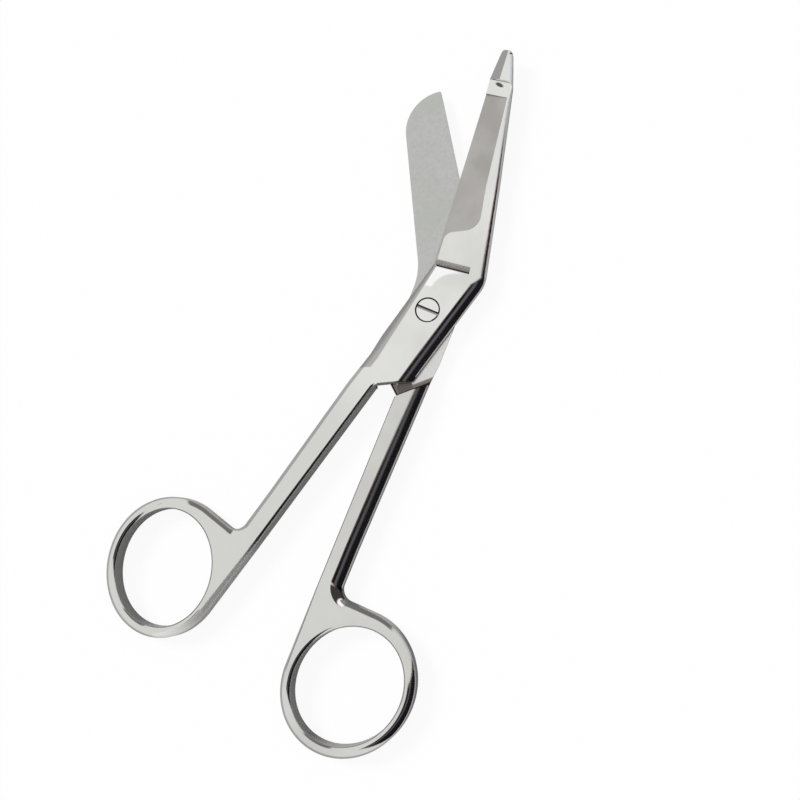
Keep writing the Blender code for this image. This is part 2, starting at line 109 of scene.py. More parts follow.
# Grinding of the blades
EDGE_THICKNESS = 0.4
RECESS_DEPTH = 1.2
RECESS_START = -0.7
RECESS_END = 4.9
RECESS_ROOT_WIDTH = 7.7
RECESS_MID_WIDTH = 6.0
RECESS_NECK_WIDTH = 4.65
RECESS_SIDE_ROUND = 0.5
RECESS_RAMP = 1.5
STEP_WIDTH = 1.65
LEDGE_START = 0.5
LEDGE_WIDTH = 0.5
PATCH_LENGTH = 5.2
PATCH_SLANT = 0.38
PATCH_CORNER_RADIUS = 1.3
GRIND_SLOPE = 2.8
GRIND_CORNER_RADIUS = 2.4
GRIND_END = 2.0
BLUNT_GRIND_WIDTH = 6.6
BLUNT_GRIND_SLOPE = 10.0
PROBE_FACET_ANGLE = 15.0
PROBE_FACET_START = 0.7
PROBE_RIDGE_ACROSS = 2.05
ROUND_STEPS = 12

# Where the probe half's colour changes, in its closed plan, with a painted highlight, painted
# reflections and painted shade. The centres are points, BRIGHT_FROM_STEP is a band ahead of the
# blade's root, and the other pairs are ramps from none to full: STEP_LINE in shares of the step's
# width, HOLLOW_RIM in shares of the painted hollow's oval.
SATIN_END = -15.3
SATIN_TAPER = 0.7
BRIGHT_CENTRE = (2.6, 4.6)
BRIGHT_RADII = (4.4, 5.0)
BRIGHT_FROM_STEP = (5.0, 8.9)
BRIGHT_STEP_EDGE = 0.4
BRIGHT_LEFT = (2.0, -0.5)
# A dimmer reflection painted down the handle's flat, towards the ring
DIM_REFLECTION_HANDLE = (-14.0, -30.0)
DIM_REFLECTION_SHARE = 0.7
# A paler reflection painted on the handle's side by the ring
PALE_REFLECTION_BY_RING = (-52.0, -60.0)
PALE_REFLECTION_OUTSIDE = (-8.0, -5.0)
# A painted shade of a hollow on the ramp up to the nose
HOLLOW_CENTRE = (-15.4, 44.3)
HOLLOW_WIDTH = 1.8
HOLLOW_HEIGHT = 0.7
HOLLOW_LEAN = 9.0
HOLLOW_RIM = (1.2, 0.6)
STEP_LINE = (0.3, 0.15)

# Where the blunt half's colour changes: a painted dark reflection and a painted highlight in the
# corner above the ring, a painted brighter reflection in the joint, and painted shade in the corner
# by the shoulder. WEB_DARK_X and WEB_DARK_Y are bands with soft edges, WEB_SPOT and NOOK_CENTRE
# are points, and the other pairs are ramps from none to full. Those of the shoulder are read along
# Y at the apex of its V.
WEB_DARK_X = (2.6, 5.7)
WEB_DARK_Y = (-58.0, -55.4)
WEB_DARK_EDGES = (0.3, 0.6)
WEB_SPOT = (5.7, -57.2)
WEB_SPOT_RADII = (1.1, 0.7)
# A brighter reflection painted on the lap in the joint, and shade painted in the corner by the
# shoulder, darkest along its foot and in its nook
JOINT_BRIGHT = (4.0, -2.0)
SHOULDER_DARK = (-15.9, -16.4)
SHOULDER_FOOT = (-16.95, -17.2)
NOOK_CENTRE = (1.0, -15.3)
NOOK_RADII = (1.7, 1.45)

# The normals of the sides: ramps from none to full for the lean to the left and to the right,
# and the band of the upward share that only a rounded side has
LEANS_LEFT = (-0.15, -0.35)
LEANS_RIGHT = (0.2, 0.4)
SIDE_NORMALS = (0.3, 0.95)
SIDE_NORMAL_EDGE = 0.03

# Pivot screw
SCREW_HEAD = 4.5
SCREW_HEAD_DEPTH = 1.0
SCREW_SHAFT = 2.6
SCREW_GAP = 0.3
SCREW_SEAT_GAP = 0.2
SCREW_SLOT_WIDTH = 0.65
SCREW_SLOT_DEPTH = 0.45
SCREW_SLOT_ANGLE = -2.6
SCREW_SLOT_SHADE = (0.0, 0.12)
RINGS_PER_METRE = 60000.0

# Fineness of the round forms
ARC_STEP = 3.0
SIDE_STEPS = 10
SCREW_SIDES = 128
CUTTER_SIDES = 128
LEAST_TURN = 1.0
CREASE_ANGLE = 25.0
SMOOTH_ANGLE = 28.0
NEAR = 0.002

MID = THICKNESS / 2
LOW_FACE = MID - LAP_GAP / 2
HIGH_FACE = MID + LAP_GAP / 2
FAR = 90.0

# Camera, as the photograph was taken, in its own frame: X to the right, Y up the picture
PHOTO_TURN = 22.42
CAMERA_PLACE = (32.25, -42.69, 176.1)
CAMERA_TILT_X = 12.2
CAMERA_TILT_Y = -8.3
FOCAL_PIXELS = 945.5
PHOTO_WIDTH_PIXELS = 800
SENSOR_WIDTH = 36.0
CLIP_METRES = (0.01, 20.0)

# Studio, in metres
FLOOR_SIZE = 6.0
FLOOR_COLOR = (0.97, 0.97, 0.97)
FLOOR_WHITE_SHARE = 0.92
MAT_COLOR = (0.55, 0.55, 0.56)
MAT_HEIGHT = 0.00005
SKY_LIGHT = 0.5
WINDOW_LIGHT = 2.5
WINDOW_SOFTNESS = 20.0
WINDOW_AZIMUTH = 150.0
WINDOW_ELEVATION = 38.0
CARD_EDGE = 5.0


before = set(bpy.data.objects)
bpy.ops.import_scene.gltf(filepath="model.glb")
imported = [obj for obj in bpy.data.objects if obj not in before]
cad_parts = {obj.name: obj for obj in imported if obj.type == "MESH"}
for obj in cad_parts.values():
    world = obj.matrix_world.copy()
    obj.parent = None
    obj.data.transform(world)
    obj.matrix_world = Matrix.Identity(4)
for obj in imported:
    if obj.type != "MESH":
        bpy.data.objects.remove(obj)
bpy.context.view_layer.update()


# Materials


class NodeBench:
    """Short calls for the nodes of a pattern."""

    def __init__(self, tree):
        self.tree = tree

    def node(self, kind, **settings):
        made = self.tree.nodes.new(kind)
        for name, value in settings.items():
            setattr(made, name, value)
        return made

    def link(self, output, target):
        self.tree.links.new(output, target)

    def place(self, source="Object", location=(0.0, 0.0, 0.0), turn=0.0, scale=(1.0, 1.0, 1.0)):
        """Coordinates, measured from a place and a turn of the plan."""
        coordinates = self.node("ShaderNodeTexCoord")
        mapping = self.node("ShaderNodeMapping", vector_type="TEXTURE")
        mapping.inputs["Location"].default_value = location
        mapping.inputs["Rotation"].default_value = (0.0, 0.0, math.radians(turn))
        mapping.inputs["Scale"].default_value = scale
        self.link(coordinates.outputs[source], mapping.inputs["Vector"])
        return mapping.outputs["Vector"]

    def axes(self, vector):
        """The vector's three numbers."""
        parts = self.node("ShaderNodeSeparateXYZ")
        self.link(vector, parts.inputs["Vector"])
        return parts.outputs["X"], parts.outputs["Y"], parts.outputs["Z"]

    def math(self, operation, *values):
        made = self.node("ShaderNodeMath", operation=operation)
        for socket, value in zip(made.inputs, values):
            if isinstance(value, float):
                socket.default_value = value
            else:
                self.link(value, socket)
        return made.outputs["Value"]

    def distance(self, vector, point):
        made = self.node("ShaderNodeVectorMath", operation="DISTANCE")
        self.link(vector, made.inputs[0])
        made.inputs[1].default_value = point
        return made.outputs["Value"]

    def noise(self, vector, scale, detail=3.0, roughness=0.5):
        made = self.node("ShaderNodeTexNoise")
        made.inputs["Scale"].default_value = scale
        made.inputs["Detail"].default_value = detail
        made.inputs["Roughness"].default_value = roughness
        self.link(vector, made.inputs["Vector"])
        return made.outputs["Fac"]

    def spread(self, value, low, high, to_low, to_high):
        """The value's range from low to high, spread smoothly over another range."""
        made = self.node("ShaderNodeMapRange", interpolation_type="SMOOTHSTEP")
        numbers = {"From Min": low, "From Max": high, "To Min": to_low, "To Max": to_high}
        for name, number in numbers.items():
            made.inputs[name].default_value = number
        self.link(value, made.inputs["Value"])
        return made.outputs["Result"]

    def ramp(self, value, limits, unit=MM):
        """0 up to the first limit and 1 from the second on, whichever of them is higher."""
        none, full = (limit * unit for limit in limits)
        if full < none:
            return self.spread(value, full, none, 1.0, 0.0)
        return self.spread(value, none, full, 0.0, 1.0)

    def varied(self, pattern, low, high):
        """A noise pattern as a value between two limits."""
        return self.spread(pattern, 0.3, 0.7, low, high)

    def product(self, first, *others):
        for other in others:
            first = self.math("MULTIPLY", first, other)
        return first

    def blend(self, share, first, second):
        """A colour from the first to the second, by the share."""
        made = self.node("ShaderNodeMix", data_type="RGBA")
        for name, color in (("A", first), ("B", second)):
            socket = next(s for s in made.inputs if s.name == name and s.type == "RGBA")
            if isinstance(color, tuple):
                socket.default_value = (*color, 1.0)
            else:
                self.link(color, socket)
        self.link(share, made.inputs["Factor"])
        return next(s for s in made.outputs if s.type == "RGBA")

    def window(self, value, limits, edge, unit=MM):
        """1 between two limits, and falling to 0 over a soft edge outside them."""
        low, high = limits
        rise = self.ramp(value, (low - edge, low), unit)
        fall = self.ramp(value, (high + edge, high), unit)
        return self.product(rise, fall)


class Finish(NodeBench):
    """A metal's node tree."""

    def __init__(self, name, color, roughness):
        self.material = bpy.data.materials.new(name)
        self.material.use_nodes = True
        super().__init__(self.material.node_tree)
        self.shader = self.tree.nodes["Principled BSDF"]
        self.shader.inputs["Base Color"].default_value = (*color, 1.0)
        self.shader.inputs["Roughness"].default_value = roughness
        self.shader.inputs["Metallic"].default_value = 1.0
        self.material.diffuse_color = (*color, 1.0)

    def bump(self, height, depth, onto=None):
        """Relief of a depth in metres, over an earlier relief if there is one."""
        made = self.node("ShaderNodeBump")
        made.inputs["Strength"].default_value = 1.0
        made.inputs["Distance"].default_value = depth
        self.link(height, made.inputs["Height"])
        if onto is not None:
            self.link(onto, made.inputs["Normal"])
        return made.outputs["Normal"]

    def finish(self, color=None, roughness=None, normal=None):
        targets = {"Base Color": color, "Roughness": roughness, "Normal": normal}
        for name, output in targets.items():
            if output is not None:
                self.link(output, self.shader.inputs[name])
        return self.material


def buffed(steel, turn, bright, dull):
    """What the mop leaves on a mirror finish: soft waves, long streaks and a changing tone."""
    plain = steel.place()
    along = steel.place(turn=turn, scale=(1.0, 40.0, 1.0))
    streaks = steel.noise(along, 2500.0, detail=2.0)
    waves = steel.noise(plain, 130.0, detail=1.0)
    patches = steel.noise(plain, 90.0, detail=4.0)
    rough = steel.varied(patches, 0.06, 0.13)
    tone = steel.blend(steel.spread(patches, 0.35, 0.75, 0.0, 1.0), bright, dull)
    relief = steel.bump(streaks, 0.000005)
    relief = steel.bump(waves, 0.00002, onto=relief)
    return tone, rough, relief


def on_top(place):
    """A place of the plan on the upper face, in metres."""
    return (place[0] * MM, place[1] * MM, THICKNESS * MM)


def polished_blunt():
    """The blunt half's mirror finish, with a painted dark reflection and a painted highlight in the
    corner above the ring.
    """
    steel = Finish("polished_blunt", (0.63, 0.625, 0.605), 0.1)
    tone, rough, relief = buffed(steel, 0.0, (0.64, 0.64, 0.62), (0.575, 0.57, 0.55))
    plain = steel.place()
    x, y, _ = steel.axes(plain)
    _, _, upward = steel.axes(steel.place("Normal"))
    edge_x, edge_y = WEB_DARK_EDGES
    across = steel.window(x, WEB_DARK_X, edge_x)
    along = steel.window(y, WEB_DARK_Y, edge_y)
    side = steel.window(upward, SIDE_NORMALS, SIDE_NORMAL_EDGE, unit=1.0)
    # Painted dark reflection on the rounded sides in the corner above the ring
    tone = steel.blend(steel.product(across, along, side), tone, (0.045, 0.038, 0.036))
    # Painted highlight where that dark reflection ends
    web_highlight = steel.ramp(steel.distance(plain, on_top(WEB_SPOT)), WEB_SPOT_RADII)
    tone = steel.blend(web_highlight, tone, (0.95, 0.95, 0.96))
    return steel.finish(color=tone, roughness=rough, normal=relief)


def painted_highlight_corner(steel, own):
    """Where a highlight is painted: the joint's flat near the step, left of the middle and outside an
    arc.
    """
    x, y, _ = steel.axes(own)
    outside = steel.ramp(steel.distance(own, on_top(BRIGHT_CENTRE)), BRIGHT_RADII)
    to_step = steel.math("MULTIPLY_ADD", x, -math.tan(math.radians(PROBE_EDGE_LEAN)), y)
    near_step = steel.window(to_step, BRIGHT_FROM_STEP, BRIGHT_STEP_EDGE)
    return steel.product(outside, near_step, steel.ramp(x, BRIGHT_LEFT))


def satin_side_with_grey_reflection(steel, own, facing):
    """The joint's left side, down to where the shank starts: rougher satin, with a grey reflection
    painted into its tone.
    """
    x, y, _ = steel.axes(own)
    ahead = steel.math("MULTIPLY_ADD", x, -SATIN_TAPER, y)
    limit = SATIN_END - SATIN_TAPER * (PARTING_X - JOINT_LEFT + JOINT_SIDE_ROUND)
    on_joint = steel.ramp(ahead, (limit - EDGE_BREAK, limit + EDGE_BREAK))
    return steel.product(steel.ramp(facing, LEANS_LEFT, unit=1.0), on_joint)


def pale_reflection_side(steel, own, facing):
    """The handle's right side near the ring, without the ring's own hole, where a paler reflection is
    painted.
    """
    x, y, _ = steel.axes(own)
    leans_right = steel.ramp(facing, LEANS_RIGHT, unit=1.0)
    return steel.product(leans_right, steel.ramp(y, PALE_REFLECTION_BY_RING), steel.ramp(x, PALE_REFLECTION_OUTSIDE))


def hollow_shade(steel):
    """A dark oval painted as the shade of a hollow on the ramp up to the probe's nose; the shape has no
    such hollow.
    """
    centre = Matrix.Rotation(math.radians(-OPEN_ANGLE), 2) @ Vector(HOLLOW_CENTRE) * MM
    oval = steel.place(
        location=(centre.x, centre.y, 0.0),
        turn=HOLLOW_LEAN - OPEN_ANGLE,
        scale=(HOLLOW_WIDTH / 2 * MM, HOLLOW_HEIGHT / 2 * MM, 1.0),
    )
    return steel.ramp(steel.distance(oval, (0.0, 0.0, 0.0)), HOLLOW_RIM, unit=1.0)


def polished_probe():
    """The probe half's mirror finish, with a satin side and a painted highlight, reflections and shade.
    """
    steel = Finish("polished_probe", (0.7, 0.695, 0.68), 0.1)
    tone, rough, relief = buffed(steel, -OPEN_ANGLE, (0.74, 0.74, 0.72), (0.66, 0.66, 0.64))
    own = steel.place(turn=-OPEN_ANGLE)
    _, y, _ = steel.axes(own)
    facing, _, _ = steel.axes(steel.place("Normal", turn=-OPEN_ANGLE))
    # Painted dimmer reflection on the handle's flat, towards the ring
    dim_reflection = steel.product(steel.ramp(y, DIM_REFLECTION_HANDLE), DIM_REFLECTION_SHARE)
    tone = steel.blend(dim_reflection, tone, (0.6, 0.6, 0.57))
    # Painted highlight on the joint's flat near the step
    tone = steel.blend(painted_highlight_corner(steel, own), tone, (0.92, 0.92, 0.92))
    # Satin on the joint's left side: rougher, with a grey reflection painted into its tone
    satin = satin_side_with_grey_reflection(steel, own, facing)
    tone = steel.blend(satin, tone, (0.44, 0.43, 0.415))
    rough = steel.math("MAXIMUM", rough, steel.product(satin, 0.33))
    # Painted paler reflection on the handle's right side near the ring, which is also made rougher
    pale_reflection = pale_reflection_side(steel, own, facing)
    tone = steel.blend(pale_reflection, tone, (0.85, 0.85, 0.83))
    rough = steel.math("MAXIMUM", rough, steel.product(pale_reflection, 0.5))
    # Painted shade of a hollow on the ramp up to the nose, which the shape doesn't have
    tone = steel.blend(hollow_shade(steel), tone, (0.1, 0.085, 0.075))
    return steel.finish(color=tone, roughness=rough, normal=relief)


def ground_steel():
    """The ground faces of the blades: matte, with fine lines across."""
    steel = Finish("ground_steel", (0.47, 0.455, 0.435), 0.4)
    across = steel.place(turn=PROBE_EDGE_LEAN - OPEN_ANGLE, scale=(8.0, 1.0, 1.0))
    lines = steel.noise(across, 6000.0, detail=3.0)
    cloud = steel.noise(steel.place(), 160.0, detail=4.0)
    light = (0.46, 0.445, 0.425)
    dull = (0.41, 0.395, 0.375)
    return steel.finish(
        color=steel.blend(steel.varied(cloud, 0.0, 1.0), light, dull),
        roughness=steel.varied(cloud, 0.36, 0.46),
        normal=steel.bump(lines, 0.000002),
    )


def lap_steel():
    """The inner faces: satin on the blades, with a painted brighter reflection in the joint and painted
    shade in its corner.
    """
    steel = Finish("lap_steel", (0.52, 0.52, 0.51), 0.33)
    plain = steel.place()
    along = steel.place(turn=BLUNT_EDGE_LEAN, scale=(1.0, 10.0, 1.0))
    lines = steel.noise(along, 5000.0, detail=3.0)
    marks = steel.noise(plain, 1800.0, detail=4.0, roughness=0.6)
    cloud = steel.noise(plain, 150.0, detail=2.0)
    marked = steel.spread(marks, 0.4, 0.7, 0.0, 1.0)
    clouded = steel.spread(cloud, 0.4, 0.7, 0.0, 0.6)
    tone = steel.blend(marked, (0.52, 0.52, 0.51), (0.48, 0.48, 0.47))
    tone = steel.blend(clouded, tone, (0.475, 0.49, 0.45))
    x, y, _ = steel.axes(plain)
    # Painted brighter reflection on the lap in the joint
    tone = steel.blend(steel.ramp(y, JOINT_BRIGHT), tone, (0.68, 0.68, 0.665))
    off_parting = steel.math("ABSOLUTE", steel.math("SUBTRACT", x, PARTING_X * MM))
    from_shoulder = steel.math("MULTIPLY_ADD", off_parting, -SHOULDER_SLOPE, y)
    # Painted shade in the corner by the shoulder
    tone = steel.blend(steel.ramp(from_shoulder, SHOULDER_DARK), tone, (0.2, 0.175, 0.155))
    # Painted darker shade in the nook of that corner
    nook = steel.distance(plain, (NOOK_CENTRE[0] * MM, NOOK_CENTRE[1] * MM, MID * MM))
    tone = steel.blend(steel.ramp(nook, NOOK_RADII), tone, (0.13, 0.115, 0.105))
    # Painted shadow line along the foot of the shoulder
    tone = steel.blend(steel.ramp(from_shoulder, SHOULDER_FOOT), tone, (0.02, 0.018, 0.016))
    rough = steel.spread(marks, 0.35, 0.65, 0.34, 0.4)
    return steel.finish(color=tone, roughness=rough, normal=steel.bump(lines, 0.0000015))


def step_steel():
    """The slope down from the joint, left satin by the wheel, with a painted reflection and a painted
    shade line that make it darkest at its top.
    """
    steel = Finish("step_steel", (0.5, 0.49, 0.475), 0.3)
    turn = PROBE_EDGE_LEAN - OPEN_ANGLE
    lines = steel.noise(steel.place(turn=turn, scale=(1.0, 5.0, 1.0)), 4000.0, detail=3.0)
    root = Matrix.Rotation(math.radians(-OPEN_ANGLE), 2) @ probe_root()
    _, down, _ = steel.axes(steel.place(location=(root.x * MM, root.y * MM, 0.0), turn=turn))
    # Painted reflection on the slope: dark at its top, pale at its foot
    fall = steel.ramp(down, (RECESS_START, RECESS_START + STEP_WIDTH))
    tone = steel.blend(fall, (0.5, 0.46, 0.43), (0.95, 0.93, 0.9))
    # Painted shade line along the slope's top
    line = [RECESS_START + STEP_WIDTH * share for share in STEP_LINE]
    tone = steel.blend(steel.ramp(down, line), tone, (0.08, 0.07, 0.065))
    return steel.finish(
        color=tone,
        roughness=steel.varied(lines, 0.24, 0.38),
        normal=steel.bump(lines, 0.000002),
    )


def nose_steel():
    """The flat on the probe's nose, matte from the stone."""
    steel = Finish("nose_steel", (0.34, 0.33, 0.32), 0.32)
    across = steel.place(turn=PROBE_EDGE_LEAN, scale=(6.0, 1.0, 1.0))
    lines = steel.noise(across, 5000.0, detail=3.0)
    return steel.finish(
        roughness=steel.varied(lines, 0.28, 0.38),
        normal=steel.bump(lines, 0.0000015),
    )


def bore_shade_steel():
    """The walls of the bore and the screw's seat, dull, and painted dark as the shade in the gap round
    the screw.
    """
    steel = Finish("shaded_bore_steel", (0.12, 0.11, 0.105), 0.5)
    cloud = steel.noise(steel.place(), 900.0, detail=3.0)
    return steel.finish(
        color=steel.blend(cloud, (0.08, 0.075, 0.07), (0.2, 0.185, 0.175)),
        roughness=steel.varied(cloud, 0.4, 0.6),
    )


def slot_steel():
    """The screw's slot, sawn and left grey, and in shadow along its upper side."""
    steel = Finish("slot_steel", (0.3, 0.29, 0.28), 0.4)
    lines = steel.noise(steel.place(turn=SCREW_SLOT_ANGLE, scale=(20.0, 1.0, 1.0)), 9000.0)
    _, across, _ = steel.axes(steel.place(turn=SCREW_SLOT_ANGLE))
    tone = steel.blend(lines, (0.26, 0.25, 0.24), (0.46, 0.45, 0.43))
    return steel.finish(
        color=steel.blend(steel.ramp(across, SCREW_SLOT_SHADE), tone, (0.03, 0.03, 0.03)),
        normal=steel.bump(lines, 0.000002),
    )


def screw_steel():
    """The turned screw, with rings left by the lathe under the polish."""
    steel = Finish("screw_steel", (0.76, 0.755, 0.745), 0.14)
    plain = steel.place()
    from_axis = steel.distance(plain, (0.0, 0.0, 0.0))
    rings = steel.math("SINE", steel.product(from_axis, RINGS_PER_METRE))
    cloud = steel.noise(plain, 700.0, detail=3.0)
    return steel.finish(
        roughness=steel.varied(cloud, 0.1, 0.2),
        normal=steel.bump(rings, 0.0000003),
    )


# Outlines: a corner is (x, y, fillet radius, side rounding of the edge that leaves it)


def rounded_outline(corners):
    """Points round a closed outline, each with the side rounding before and after it."""
    points = []
    for index, (x, y, radius, after) in enumerate(corners):
        before = corners[index - 1][3]
        here = Vector((x, y))
        back = Vector(corners[index - 1][:2]) - here
        ahead = Vector(corners[(index + 1) % len(corners)][:2]) - here
        turn = math.pi - back.angle(ahead)
        if radius <= 0.0 or turn < math.radians(LEAST_TURN):
            points.append((here, before, after))
            continue
        reach = radius * math.tan(turn / 2)
        start = here + back.normalized() * reach
        end = here + ahead.normalized() * reach
        inward = (back.normalized() + ahead.normalized()).normalized()
        centre = here + inward * (radius / math.cos(turn / 2))
        steps = max(2, math.ceil(math.degrees(turn) / ARC_STEP))
        sweep = (start - centre).angle_signed(end - centre)
        for step in range(steps + 1):
            part = step / steps
            spoke = Matrix.Rotation(-sweep * part, 2) @ (start - centre)
            blend = before + (after - before) * part
            points.append((centre + spoke, blend, blend))
    return points


def inset_vectors(points):
    """How far the flat face draws in from each outline point, as a vector."""
    vectors = []
    for index, (here, before, after) in enumerate(points):
        back = (here - points[index - 1][0]).normalized()
        ahead = (points[(index + 1) % len(points)][0] - here).normalized()
        normal_back = Vector((-back.y, back.x))
        normal_ahead = Vector((-ahead.y, ahead.x))
        cross = back.x * ahead.y - back.y * ahead.x
        if abs(cross) < math.sin(math.radians(CREASE_ANGLE)):
            middle = (normal_back + normal_ahead).normalized()
            vectors.append(middle * (before + after) / 2)
        else:
            vectors.append((ahead * before - back * after) / cross)
    return vectors


def section_loops(points):
    """Loops from the lower flat face over the rounded side to the upper flat face."""
    insets = inset_vectors(points)
    loops = []
    levels = [(-1, step) for step in range(SIDE_STEPS, -1, -1)]
    levels += [(1, step) for step in range(SIDE_STEPS + 1)]
    for sign, step in levels:
        angle = math.radians(90.0) * step / SIDE_STEPS
        outward = max(0.0, math.cos(angle)) ** SIDE_FULLNESS
        upward = math.sin(angle) ** SIDE_FULLNESS
        loop = []
        for (here, before, after), inset in zip(points, insets):
            rounding = max(before, after)
            depth = rounding * (1 - (1 - SIDE_FALL) * min(1.0, rounding))
            place = here + inset * (1 - outward)
            height = MID + sign * (MID - depth * (1 - upward))
            loop.append(Vector((place.x, place.y, height)))
        loops.append(loop)
    return loops


def forge(outline, hole):
    """A flat forging with rounded sides: the outline and the hole, each a band of section loops."""
    mesh = bmesh.new()
    lower_rims = []
    upper_rims = []
    for points in (outline, hole):
        edges = []
        for loop in section_loops(points):
            verts = [mesh.verts.new(place * MM) for place in loop]
            edges.append([mesh.edges.new((verts[i - 1], verts[i])) for i in range(len(verts))])
        for lower, upper in zip(edges, edges[1:]):
            bmesh.ops.bridge_loops(mesh, edges=lower + upper)
        lower_rims += edges[0]
        upper_rims += edges[-1]
    for rim in (lower_rims, upper_rims):
        bmesh.ops.triangle_fill(mesh, edges=rim, use_beauty=True, use_dissolve=False)
    bmesh.ops.recalc_face_normals(mesh, faces=mesh.faces)
    return mesh


# Plan geometry, all in the closed position; side is 1 for the right-hand handle and -1 for the left


def plan_direction(lean):
    """The way along a blade that leans to the left of +Y."""
    return Vector((-math.sin(math.radians(lean)), math.cos(math.radians(lean))))


def probe_root():
    return Vector((PARTING_X - JOINT_LEFT, PROBE_EDGE_ROOT_Y))


def probe_spot(along, across):
    """A point of the probe blade: along its edge, and across towards its back."""
    way = plan_direction(PROBE_EDGE_LEAN)
    return probe_root() + way * along + Vector((way.y, -way.x)) * across


def blunt_root():
    return Vector((PARTING_X + JOINT_RIGHT, BLUNT_EDGE_ROOT_Y))


def blunt_spot(along, across):
    """A point of the blunt blade: along its edge, and across towards its back."""
    way = plan_direction(BLUNT_EDGE_LEAN)
    return blunt_root() + way * along + Vector((-way.y, way.x)) * across


def parting_x(y):
    """The line that the closed halves meet on; it drifts to the left towards the rings."""
    share = max(0.0, (SHOULDER_APEX_Y - y) / (SHOULDER_APEX_Y + HANDLE_LENGTH))
    return PARTING_X - PARTING_SHIFT * share


def ring_reach():
    """Half the width of a finger ring's leaning oval, square to the parting line."""
    lean = math.radians(RING_LEAN)
    across = (RING_HOLE_WIDTH / 2 + RING_BAR) * math.cos(lean)
    along = (RING_HOLE_LENGTH / 2 + RING_BAR) * math.sin(lean)
    return math.hypot(across, along)


def ring_inner_angle(side):
    """Where along its oval a ring comes nearest to the parting line."""
    lean = math.radians(RING_LEAN)
    along = (RING_HOLE_LENGTH / 2 + RING_BAR) * math.sin(lean)
    across = (RING_HOLE_WIDTH / 2 + RING_BAR) * math.cos(lean)
    angle = 180.0 + math.degrees(math.atan2(along, across)) - RING_LEAN
    return angle if side > 0 else 180.0 - angle


def ring_curve(side, grow, start, sweep, rounding):
    """Corners along a finger ring's oval, grown outwards by a width."""
    lean = math.radians(90.0 - side * RING_LEAN)
    out = SIDE_CLEARANCE / 2 + ring_reach()
    centre = Vector((parting_x(-HANDLE_LENGTH) + side * out, -HANDLE_LENGTH))
    count = max(2, round(abs(sweep) / RING_STEP))
    corners = []
    for step in range(count + 1):
        angle = math.radians(start + sweep * step / count) - lean
        along = (RING_HOLE_LENGTH / 2 + grow) * math.cos(angle)
        across = (RING_HOLE_WIDTH / 2 + grow) * math.sin(angle)
        spot = centre + Matrix.Rotation(lean, 2) @ Vector((along, across))
        corners.append((spot.x, spot.y, 0.0, rounding))
    return corners


def hole_outline(side):
    """The finger hole, run clockwise so that its wall faces into the hole."""
    corners = ring_curve(side, 0.0, 0.0, -360.0, RING_INNER_ROUND)[:-1]
    return [(Vector(corner[:2]), corner[3], corner[3]) for corner in corners]


def shank_inner_x(side, y):
    return parting_x(y) + side * SIDE_CLEARANCE / 2


def shank_corner(side, y, width):
    """A corner of a shank's outer edge, at a height and a width."""
    return (shank_inner_x(side, y) + side * width, y, 0.0, SHANK_SIDE_ROUND)


def ring_shoulder(side, ring, web_y):
    """The corner where the ring's end runs on to the web's top, with the radius that fits."""
    last = Vector(ring[-1][:2])
    way = (last - Vector(ring[-2][:2])).normalized()
    corner = last + way * (web_y - last.y) / way.y
    turn = way.angle(Vector((-side, 0.0)))
    radius = (corner - last).length / math.tan(turn / 2)
    return (corner.x, corner.y, radius, RING_OUTER_ROUND)


def handle_corners(side):
    """One half's handle, from the shank's inner edge round the ring to its outer edge."""
    web_y = -HANDLE_LENGTH + RING_HOLE_LENGTH / 2 + WEB_RISE
    start = ring_inner_angle(side)
    end = 360.0 + RING_TOP_ANGLE if side > 0 else -180.0 - RING_TOP_ANGLE
    ring = ring_curve(side, RING_BAR, start, end - start, RING_OUTER_ROUND)
    web = shank_corner(side, web_y, SHANK_WIDTH - SHANK_TAPER)
    return [
        (shank_inner_x(side, web_y), web_y, 0.0, RING_OUTER_ROUND / 2),
        *ring,
        ring_shoulder(side, ring, web_y),
        (*web[:2], WEB_FILLET, SHANK_SIDE_ROUND),
        shank_corner(side, -HANDLE_LENGTH + SHANK_END, SHANK_WIDTH - SHANK_TAPER),
        shank_corner(side, SHOULDER_APEX_Y - SHANK_START, SHANK_WIDTH),
    ]


def joint_end_y(reach):
    """Height of the V-shaped joint end, at a distance from the parting line."""
    return SHOULDER_APEX_Y + SIDE_CLEARANCE / 2 + reach * SHOULDER_SLOPE


def blunt_outline():
    left = PARTING_X - JOINT_LEFT
    right = PARTING_X + JOINT_RIGHT
    inner = PARTING_X + SIDE_CLEARANCE / 2
    end = BLUNT_EDGE_LENGTH
    return [
        *handle_corners(1),
        (right - JOINT_END_TAPER, joint_end_y(JOINT_RIGHT), 0.0, JOINT_SIDE_ROUND),
        (right, SHOULDER_APEX_Y / 2, 0.0, JOINT_SIDE_ROUND),
        (*blunt_root(), BLUNT_ELBOW_RADIUS, EDGE_BREAK),
        (*blunt_spot(end, 0.0), BLUNT_TIP_RADIUS, BLUNT_BACK_ROUND / 2),
        (*blunt_spot(end, BLUNT_NOSE_WIDTH), BLUNT_NOSE_RADIUS, BLUNT_BACK_ROUND),
        (left, BLUNT_BACK_ROOT_Y, BLUNT_BACK_FILLET, JOINT_SIDE_ROUND),
        (left, joint_end_y(JOINT_LEFT), EDGE_BREAK * 4, EDGE_BREAK),
        (inner, joint_end_y(0.0), 0.0, EDGE_BREAK),
    ]


